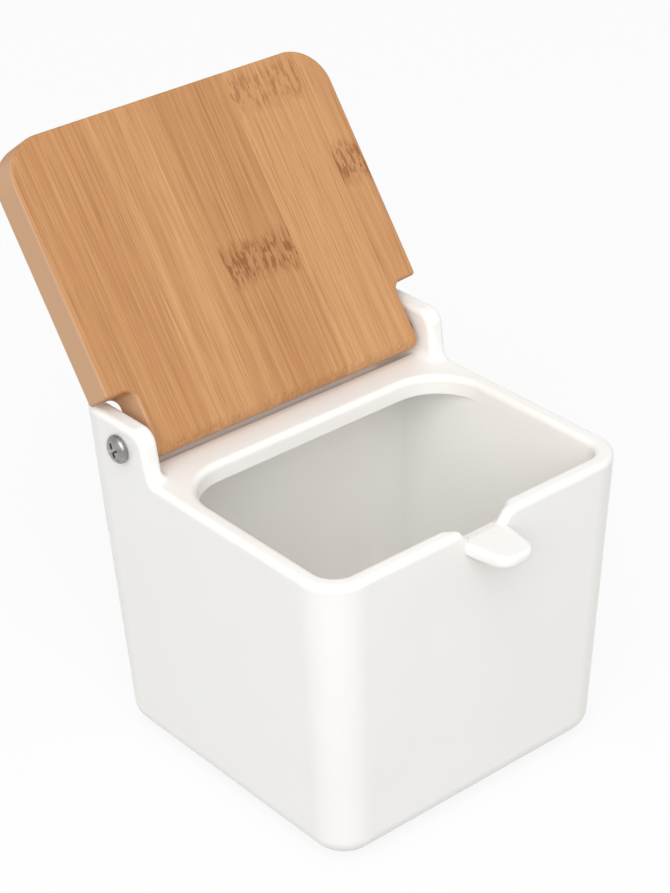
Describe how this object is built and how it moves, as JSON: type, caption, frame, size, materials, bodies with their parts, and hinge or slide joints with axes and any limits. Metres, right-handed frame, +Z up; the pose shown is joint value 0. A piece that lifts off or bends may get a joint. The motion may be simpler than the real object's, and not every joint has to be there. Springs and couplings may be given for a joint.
{
  "type": "porcelain canister with hinged bamboo lid",
  "caption": "Square tapered white porcelain canister with a flip-up bamboo lid hung between two ears on screws, a spoon notch in the rim and a finger tab below it.",
  "frame": {"origin": "middle of the canister's footprint, on the surface that it stands on", "axes": "+Z up, -Y towards the front with the spoon notch, X along the hinge"},
  "size_m": [0.1108, 0.1502, 0.1691],
  "materials": {
    "white_glaze": "gloss white glaze",
    "bamboo": "caramel bamboo, sanded and lightly oiled",
    "screw_steel": "bright zinc-plated steel",
    "insert_brass": "plain brass"
  },
  "bodies": {
    "canister": {"porcelain_body": "white_glaze"},
    "lid": {"lid_stave_1": "bamboo", "lid_stave_2": "bamboo", "lid_stave_3": "bamboo", "lid_stave_4": "bamboo", "lid_stave_5": "bamboo", "hinge_screw_left": "screw_steel", "hinge_screw_right": "screw_steel", "insert_nut_left": "insert_brass", "insert_nut_right": "insert_brass"}
  },
  "joints": [
    {"name": "lid_hinge", "type": "hinge", "parent": "canister", "child": "lid", "pos_m": [0, 0.0318, 0.0975], "axis": [1, 0, 0], "range_deg": [0, 125.7]}
  ]
}
